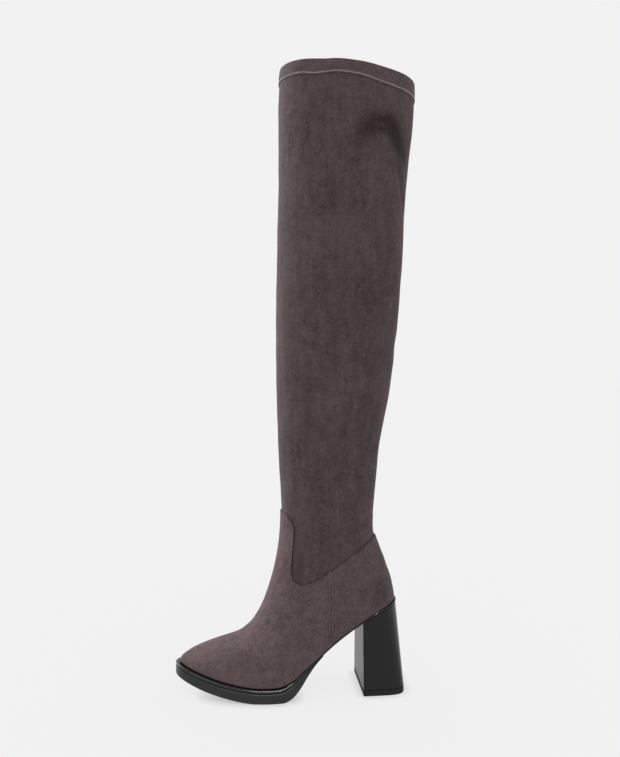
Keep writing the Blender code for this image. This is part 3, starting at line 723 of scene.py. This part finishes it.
def makeCollarBand():
    turns = turnsRound(hem["columns"])
    drop, out, paintedShadeAndTread = [], [], []

    def row(down, away, seam=0.0):
        drop.append(down)
        out.append(away)
        paintedShadeAndTread.append(seam)

    thick = hem["outside"] - wall["gap"]
    # painted shade along the rounded lower edge, strongest at its bottom
    for i in range(7):   # rounded lower edge outside
        swing = math.pi / 2 * i / 6
        row(hem["height"] - hem["edgeRound"] * (1 - math.cos(swing)),
            wall["gap"] + thick * math.sin(swing), 1 - i / 6)
    middle, half = (hem["outside"] + hem["inside"]) / 2, (hem["outside"] - hem["inside"]) / 2
    # painted shade in the stitch furrow
    for i in range(26):   # outside, up to the fold
        down = mix(hem["height"] - hem["edgeEnd"], half, i / 25)
        fromRow = (hem["height"] - down - hem["stitchIn"]) / hem["furrowWidth"]
        furrow = math.exp(-fromRow ** 2)
        puff = math.sin(math.pi * i / 25) * hem["puff"]
        row(down, hem["outside"] + puff - hem["furrow"] * furrow, hem["furrowShade"] * furrow)
    for i in range(1, 12):   # over the rim
        swing = math.pi * i / 12
        row(half - half * math.sin(swing), middle + half * math.cos(swing))
    for i in range(14):   # inside, down to its own edge
        row(mix(half, hem["height"], i / 13), hem["inside"] + hem["tuckIn"] * (i == 13))
    behind = -wall["upper"] - hem["clear"]
    # painted shade where the hem tucks in behind
    row(hem["height"], behind, hem["tuckShade"])
    for i in range(6):   # back up and down between the layers
        row(mix(hem["height"], hem["foldTop"], i / 5), behind)
    for i in range(6):
        row(mix(hem["foldBack"], hem["height"], i / 5), wall["gap"] / 2)
    turn, down = np.meshgrid(turns, drop)
    away, shade = (np.meshgrid(turns, rows)[1] for rows in (out, paintedShadeAndTread))
    level = topRow - hemDrop(turn, down) / sectionRise
    faces = gridFaces(*turn.shape, True, True)
    return makeMesh("collarBand", skin(turn, level, away), faces, hemSuede, shade)


shaftSkin = makeShaftSkin()
lining = makeLining()
vampSkin = makePanel("vampSkin", vamp, vampSuede)
counterSkin = makePanel("counterSkin", counter, counterSuede)
collarBand = makeCollarBand()
print("upper, lining, vamp, counter and hem made")

# along the foot, share
ledgeOut = (
    (0.0, 1.3), (0.12, 1.1), (0.25, 1.0), (0.45, 1.0), (0.56, 0.55), (0.66, 0.28), (0.85, 0.3),
    (1.0, 0.9),
)
weltTaper = ((0.0, 1.0), (0.5, 1.0), (0.62, 0.1), (0.7, 0.0), (1.0, 0.0))
platformTaper = (
    (0.0, 0.88), (0.15, 1.0), (0.35, 1.02), (0.5, 1.04), (0.68, 1.1), (0.78, 1.24),
    (0.835, 1.1), (0.89, 0.61), (0.95, 0.19), (1.0, 0.0),
)
sole = {
    "ledge": 0.0045, "weltThick": 0.0034, "waistThick": 0.002, "run": 0.142, "end": 0.0001,
    "groove": 0.001, "columns": 400, "endCrowding": 0.15, "weltRound": 0.0017,
    "weltRoundBelow": 0.00136, "platformRound": 0.0015, "wallLevels": (0.3, 0.45, 0.6, 0.75),
}
heelBlock = {
    "breast": -0.02, "length": 0.0438, "width": 0.0612, "corner": 5.5, "topPiece": 0.0057,
    "columns": 72, "levels": 14, "bevel": 0.0006, "tipBevel": 0.00048,
}
board = {
    "room": 0.0004, "columns": 160,   # rings are (inset, height) from the middle of the top down
    "rings": ((0.012, 0.0023), (0.004, 0.0022), (0.0008, 0.002), (0.0, 0.0012), (0.0, 0.0)),
}


def ledgeAt(x):
    return sole["ledge"] * tableCurve(ledgeOut, 1, (x - toeX) / last["length"])


def weltTop(x):
    return bottomAt(x) - wall["gap"]


def weltThickness(x):
    share = np.clip(tableCurve(weltTaper, 1, (x - toeX) / last["length"]), 0, 1)
    return mix(sole["waistThick"], sole["weltThick"], share)


def weltBottom(x):
    return weltTop(x) - weltThickness(x)


def platformTop(x):
    return weltBottom(x) - wall["gap"]


def platformBottom(x):
    underBall = last["platform"] - sole["weltThick"] - 2 * wall["gap"]
    share = np.maximum(0, tableCurve(platformTaper, 1, (x - toeX) / sole["run"]))
    return np.maximum(0, platformTop(x) - mix(sole["end"], underBall, share))


def soleTurns(count):
    even = turnsRound(count)
    return even + sole["endCrowding"] * np.sin(2 * even)


def turnAt(x):
    return math.acos(1 - 2 * (x - toeX) / last["length"])


# Ring round the foot, moved out from its lower edge. Out and height are functions of x.
def ring(turns, out, height):
    here = form(turns, 0.0)
    along = form(turns + aroundStep, 0.0) - form(turns - aroundStep, 0.0)
    away = np.stack((along[:, 1], -along[:, 0]), -1)
    away = away / np.linalg.norm(away, axis=-1, keepdims=True) * out(here[:, 0])[:, None]
    spot = here[:, :2] + away
    return np.column_stack((spot, height(spot[:, 0])))


def ledgeRing(turns, inset, height):
    return ring(turns, lambda x: ledgeAt(x) - inset, height)


# 1 on the last ring, which bounds the underside, and 0 on the others
def underside(rings):
    share = np.zeros(rings.shape[:2])
    share[-1] = 1
    return share


# Rounded corner as (in, down) pairs, from its first side to its second
def corner(size, steps=5):
    swings = [math.pi / 2 * i / steps for i in range(steps + 1)]
    return [(size * (1 - math.sin(s)), size * (1 - math.cos(s))) for s in swings]


# Rings of a plate's wall, from its top edge to its bottom edge, both rounded
def wallRings(turns, top, bottom, full, roundTop, roundBottom, levels=()):
    def share(x):
        return (top(x) - bottom(x)) / full

    rings = [ledgeRing(turns, inset, lambda x: top(x) - down * share(x))
             for inset, down in corner(roundTop)]
    rings += [ledgeRing(turns, 0.0, lambda x: mix(top(x), bottom(x), low)) for low in levels]
    rings += [ledgeRing(turns, inset, lambda x: bottom(x) + up * share(x))
              for inset, up in reversed(corner(roundBottom))]
    return rings


def makeWelt():
    turns = soleTurns(sole["columns"])
    rings = wallRings(turns, weltTop, weltBottom, sole["weltThick"],
                      sole["weltRound"], sole["weltRoundBelow"])
    rings.append(ledgeRing(turns, 2 * sole["groove"], weltBottom))
    return slabMesh("weltPlate", np.array(rings), weltSatin)


def makeOutsole():
    end = turnAt(toeX + sole["run"])
    turns = soleTurns(sole["columns"])
    turns = turns[np.abs(turns) < end - math.pi / sole["columns"]]
    turns = np.concatenate(([-end], turns, [end]))
    rings = [ledgeRing(turns, 2 * sole["groove"], platformTop)]
    rings += wallRings(turns, platformTop, platformBottom, last["platform"],
                       sole["platformRound"], sole["platformRound"], sole["wallLevels"])
    return slabMesh("platformSole", np.array(rings), outsoleSatin, underside(np.array(rings)))


def heelTurns():
    return np.linspace(-math.pi / 2, math.pi / 2, heelBlock["columns"])


def heelFoot():
    turns = heelTurns()
    power = 2 / heelBlock["corner"]
    back = np.maximum(0, np.cos(turns)) ** power
    side = np.abs(np.sin(turns)) ** power * -np.sign(np.sin(turns))
    x = heelBlock["breast"] + heelBlock["length"] * back
    return np.column_stack((x, heelBlock["width"] / 2 * side))


# Block with flat ends and a flat breast, its sharp edges bevelled
def blockMesh(name, rings, material, bevel, paintedShadeAndTread=None):
    rows, count = rings.shape[:2]
    faces = gridFaces(rows, count)
    faces += [list(range(count)), list(range((rows - 1) * count, rows * count))]
    made = makeMesh(name, rings, faces, material, paintedShadeAndTread)
    made.data.set_sharp_from_angle(angle=sharpFrom["block"])
    edges = made.modifiers.new("edges", "BEVEL")
    edges.width = bevel
    edges.segments = 3
    edges.limit_method = "ANGLE"
    edges.angle_limit = sharpFrom["block"]
    edges.harden_normals = True
    return made


def makeHeel():
    start = turnAt(heelBlock["breast"])
    seatTurns = math.pi - (math.pi - start) * heelTurns() / (math.pi / 2)

    def underWelt(x):
        return weltBottom(x) - wall["gap"]

    seat = ring(seatTurns, lambda x: ledgeAt(x) - sole["groove"] / 2, underWelt)
    seat[:, 0] = np.maximum(heelBlock["breast"], seat[:, 0])
    seat[[0, -1], 0] = heelBlock["breast"]
    seat[:, 2] = underWelt(seat[:, 0])
    foot = np.column_stack((heelFoot(), np.full(len(seat), heelBlock["topPiece"] + wall["gap"])))
    shares = np.linspace(0, 1, heelBlock["levels"])
    rings = np.array([mix(seat, foot, share) for share in shares])
    return blockMesh("heelBlock", rings, heelGloss, heelBlock["bevel"])


def makeTopPiece():
    levels = (heelBlock["topPiece"], heelBlock["topPiece"] / 2, 0.0)
    foot = heelFoot()
    rings = np.array([np.column_stack((foot, np.full(len(foot), z))) for z in levels])
    return blockMesh("heelTip", rings, topRubber, heelBlock["tipBevel"], underside(rings))


def makeSockBoard():
    turns = soleTurns(board["columns"])
    rings = []
    for inset, height in board["rings"]:
        out = -wall["upper"] - board["room"] - inset
        points = form(turns, 0.0) + outward(turns, np.zeros(len(turns))) * out
        points[:, 2] = bottomAt(points[:, 0]) + height
        rings.append(points)
    return slabMesh("sockBoard", np.array(rings), liningCloth)


weltPlate = makeWelt()
platformSole = makeOutsole()
heelSolid = makeHeel()
heelTip = makeTopPiece()
sockBoard = makeSockBoard()
print("sole, heel and sock board made")


# step, thread length, thread radius and swing of each row of stitches
stitches = {
    "edge": (0.0024, 0.0021, 0.00028, 0.0), "tack": (0.0013, 0.0052, 0.00030, math.pi / 2),
    "hem": (0.00105, 0.0018, 0.00016, 0.8), "teeth": (0.0021, 0.0026, 0.00031, 1.4),
    "seed": 3, "jitter": 0.05, "beadSides": 7, "beadRings": 5,
}
rowPath = {"edgeEnds": 0.985, "edgePoints": 500, "seamFrom": 0.03, "seamTo": 0.97,
           "seamPoints": 200, "tackFrom": 0.90, "tackTo": 0.995, "tackPoints": 12,
           "tackLift": 0.0002, "hemPoints": 400}


# Geometry Nodes tree: short threads laid along a path that knows which way is out of the cloth
def stitchTree():
    tree = bpy.data.node_groups.new("stitchRow", "GeometryNodeTree")
    for label, kind in (("Geometry", "Geometry"), ("Step", "Float"), ("Thread length", "Float"),
                        ("Thread radius", "Float"), ("Swing", "Float"), ("Seed", "Int"),
                        ("Thread", "Material")):
        tree.interface.new_socket(label, in_out="INPUT", socket_type="NodeSocket" + kind)
    tree.interface.new_socket("Geometry", in_out="OUTPUT", socket_type="NodeSocketGeometry")

    def node(kind, settings=None, inputs=None, output=0):
        return addNode(tree, kind, settings, inputs, output)

    sockets = tree.nodes.new("NodeGroupInput").outputs
    given = {socket.name: Wire(socket) for socket in sockets}
    path = node("GeometryNodeMeshToCurve", {}, {"Mesh": given["Geometry"]})
    even = node("GeometryNodeResampleCurve", {"mode": "LENGTH"},
                {"Curve": path, "Length": given["Step"]})
    facing = node("GeometryNodeInputNamedAttribute", {"data_type": "FLOAT_VECTOR"},
                  {"Name": "facing"})
    along = node("FunctionNodeAlignRotationToVector", {"axis": "X"},
                 {"Vector": node("GeometryNodeInputTangent")})
    upright = node("FunctionNodeAlignRotationToVector", {"axis": "Z", "pivot_axis": "X"},
                   {"Rotation": along, "Vector": facing})
    everyOther = node("GeometryNodeInputIndex") % 2.0 * 2.0 - 1.0
    jitter = node("FunctionNodeRandomValue", {"data_type": "FLOAT"}, {
        "Min": -stitches["jitter"], "Max": stitches["jitter"], "Seed": given["Seed"]}, "Value")
    tip = node("ShaderNodeCombineXYZ", {}, {"Z": everyOther * given["Swing"] + jitter})
    lean = node("FunctionNodeEulerToRotation", {}, {0: tip})
    turned = node("FunctionNodeRotateRotation", {"rotation_space": "LOCAL"},
                  {0: upright, 1: lean})
    bead = node("GeometryNodeMeshUVSphere", {}, {
        "Segments": stitches["beadSides"], "Rings": stitches["beadRings"], "Radius": 1.0})
    size = node("ShaderNodeCombineXYZ", {}, {
        "X": given["Thread length"] * 0.5, "Y": given["Thread radius"],
        "Z": given["Thread radius"]})
    laid = node("GeometryNodeInstanceOnPoints", {}, {
        "Points": even, "Instance": bead, "Rotation": turned, "Scale": size})
    real = node("GeometryNodeRealizeInstances", {}, {0: laid})
    rounded = node("GeometryNodeSetShadeSmooth", {}, {0: real})
    dressed = node("GeometryNodeSetMaterial", {}, {
        "Geometry": rounded, "Material": given["Thread"]})
    feed(tree, tree.nodes.new("NodeGroupOutput").inputs[0], dressed)
    return tree


stitchRow = stitchTree()


# Stitches along paths of (turns, sections, out, whether closed), as one plain mesh
def makeStitches(name, paths, sizes, thread):
    points, facings, edges = [], [], []
    for turn, level, out, closed in paths:
        first = len(points)
        spots = skin(turn, level, out)
        points += spots.tolist()
        facings.append(outward(turn, level))
        count = len(spots)
        edges += [(first + i, first + i + 1) for i in range(count - 1)]
        if closed:
            edges.append((first + count - 1, first))
    data = bpy.data.meshes.new(name + "Path")
    data.from_pydata(points, edges, [])
    facing = data.attributes.new("facing", "FLOAT_VECTOR", "POINT")
    facing.data.foreach_set("vector", np.concatenate(facings).ravel().astype(np.float32))
    path = addObject(name + "Path", data)
    sewn = path.modifiers.new("stitches", "NODES")
    sewn.node_group = stitchRow
    values = dict(zip(("Step", "Thread length", "Thread radius", "Swing"), sizes))
    values.update({"Seed": stitches["seed"], "Thread": thread})
    for item in stitchRow.interface.items_tree:
        if item.in_out == "INPUT" and item.name in values:
            sewn[item.identifier] = values[item.name]
    evaluated = path.evaluated_get(bpy.context.evaluated_depsgraph_get())
    plain = bpy.data.meshes.new_from_object(evaluated)
    path.modifiers.remove(sewn)
    bpy.data.objects.remove(path)
    plain.name = name
    print(name, len(plain.polygons), "faces")
    return addObject(name, plain)


onPanel = wall["lap"] + wall["panel"] + sewing["stitchLift"]
nearby = 0.05   # share of a panel over which its size is measured


# Path over (around, share) places of a panel, moved in from its side seam or its top edge
def panelPath(panel, around, share, inset, fromSide):
    def moved(step):
        if fromSide:
            return panelPlaces(panel, around * (1 - step), share)
        return panelPlaces(panel, around, share - step)

    size = np.linalg.norm(form(*moved(0)) - form(*moved(nearby)), axis=-1) / nearby
    return *moved(inset / size), onPanel, False


def topPath(panel):
    around = np.linspace(-rowPath["edgeEnds"], rowPath["edgeEnds"], rowPath["edgePoints"])
    return panelPath(panel, around, np.ones(len(around)), sewing["rowIn"], False)


def seamPath(panel, side):
    share = np.linspace(rowPath["seamFrom"], rowPath["seamTo"], rowPath["seamPoints"])
    return panelPath(panel, side * np.ones(len(share)), share, sewing["sideRowIn"], True)


# Close bar of thread over the top of a side seam
def tackPath(side):
    count = rowPath["tackPoints"]
    share = np.linspace(rowPath["tackFrom"], rowPath["tackTo"], count)
    turn, level = panelPlaces(vamp, np.full(count, float(side)), share)
    return turn, level, onPanel + rowPath["tackLift"], False


def hemPath():
    turns = turnsRound(rowPath["hemPoints"])
    level = topRow - hemDrop(turns, hem["height"] - hem["stitchIn"]) / sectionRise
    return turns, level, hem["outside"] + hem["stitchLift"], True


panelRows = [topPath(panel) for panel in (vamp, counter)]
panelRows += [seamPath(panel, side) for panel in (vamp, counter) for side in (-1, 1)]
edgeStitches = makeStitches("edgeStitches", panelRows, stitches["edge"], seamThread)
barTacks = makeStitches("barTacks", [tackPath(-1), tackPath(1)], stitches["tack"], seamThread)
hemStitches = makeStitches("hemStitches", [hemPath()], stitches["hem"], paleThread)
hemTeeth = makeStitches("hemTeeth", [hemPath()], stitches["teeth"], paleThread)

for piece, slotName, *nodes in (
    (shaftSkin, "shaft_suede", "upper"), (lining, "sock_lining", "upper"),
    (vampSkin, "vamp_suede", "vamp"), (counterSkin, "counter_suede", "counter"),
    (collarBand, "hem_suede", "collar_band"), (weltPlate, "welt_satin", "welt"),
    (platformSole, "outsole_satin", "outsole"), (heelSolid, "heel_gloss", "heel"),
    (heelTip, "top_piece_rubber", "top_piece"), (sockBoard, "sock_lining", "insole"),
    (edgeStitches, "vamp_suede", "vamp", "counter"), (barTacks, "vamp_suede", "vamp", "counter"),
    (hemStitches, "hem_suede", "collar_band"), (hemTeeth, "hem_suede", "collar_band"),
):
    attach(piece, "root")
    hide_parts(*nodes)
print("pieces put in place of their solids")

studio = {"white": 0.885, "floorSize": 60.0, "floorTone": 0.10, "contactReach": 0.011,
          "contactShade": 0.42, "contactSamples": 16}


def makeFloor():
    half = studio["floorSize"] / 2
    corners = [(-half, -half, 0), (half, -half, 0), (half, half, 0), (-half, half, 0)]
    data = bpy.data.meshes.new("floor")
    data.from_pydata(corners, [], [[0, 1, 2, 3]])
    finish = Finish("paleFloor", **{"Roughness": 1.0, "Specular IOR Level": 0.0})
    grey, glow = studio["floorTone"], studio["white"] * (1 - studio["floorTone"])
    # the floor glows evenly to the background's white, with a painted contact shadow near the boot
    clear = finish.node("AmbientOcclusion", {"samples": studio["contactSamples"]},
                        {"Distance": studio["contactReach"]}, "AO")
    paintedContactShadow = 1 - (1 - clear) * studio["contactShade"]
    finish.set({"Base Color": (grey, grey, grey, 1), "Emission Color": paintedContactShadow,
                "Emission Strength": glow})
    data.materials.append(finish.material)
    floor = addObject("floor", data)
    return floor


# An area light that leaves the floor as it is, or that lights only the pieces given
def makeLight(name, spot, aim, size, power, only=()):
    data = bpy.data.lights.new(name, "AREA")
    data.shape = "RECTANGLE"
    data.size = size[0]
    data.size_y = size[1]
    data.energy = power
    lamp = addObject(name, data)
    lamp.location = spot
    ray = Vector([a - b for a, b in zip(aim, spot)])
    lamp.rotation_euler = ray.to_track_quat("-Z", "Y").to_euler()
    lit = bpy.data.collections.new(name + "Lit")
    for piece in only or (floor,):
        lit.objects.link(piece)
    if not only:
        lit.collection_objects[0].light_linking.link_state = "EXCLUDE"
    lamp.light_linking.receiver_collection = lit


floor = makeFloor()
world = bpy.context.scene.world or bpy.data.worlds.new("studio")
bpy.context.scene.world = world
world.use_nodes = True
sky = world.node_tree.nodes["Background"]
sky.inputs["Color"].default_value = (1, 1, 1, 1)
sky.inputs["Strength"].default_value = studio["white"]
makeLight("leftBack", (-1.1, 0.55, 0.9), (-0.05, 0, 0.42), (0.7, 1.3), 17.0)
makeLight("leftFront", (-1.2, -1.2, 1.0), (-0.05, 0, 0.3), (0.8, 0.8), 5.0)
makeLight("rightBack", (1.0, 0.9, 0.6), (0, 0, 0.35), (0.4, 1.2), 0.6)
makeLight("weltGlint", (-0.135, -1.21, 0.945), (-0.1, -0.04, 0.015), (0.5, 0.3), 17.0,
          (weltPlate, platformSole))

shot = {"place": (-0.13803, -0.72206, 0.3179), "turn": -5.3, "lens": 33.29, "sensor": 36.0}
view = bpy.data.cameras.new("view")
view.sensor_width = shot["sensor"]
view.lens = shot["lens"]
camera = addObject("camera", view)
camera.location = shot["place"]
camera.rotation_euler = (math.radians(90), 0, math.radians(shot["turn"]))
bpy.context.scene.camera = camera
bpy.context.scene.view_settings.view_transform = "Standard"

bpy.context.view_layer.update()
print("ready")
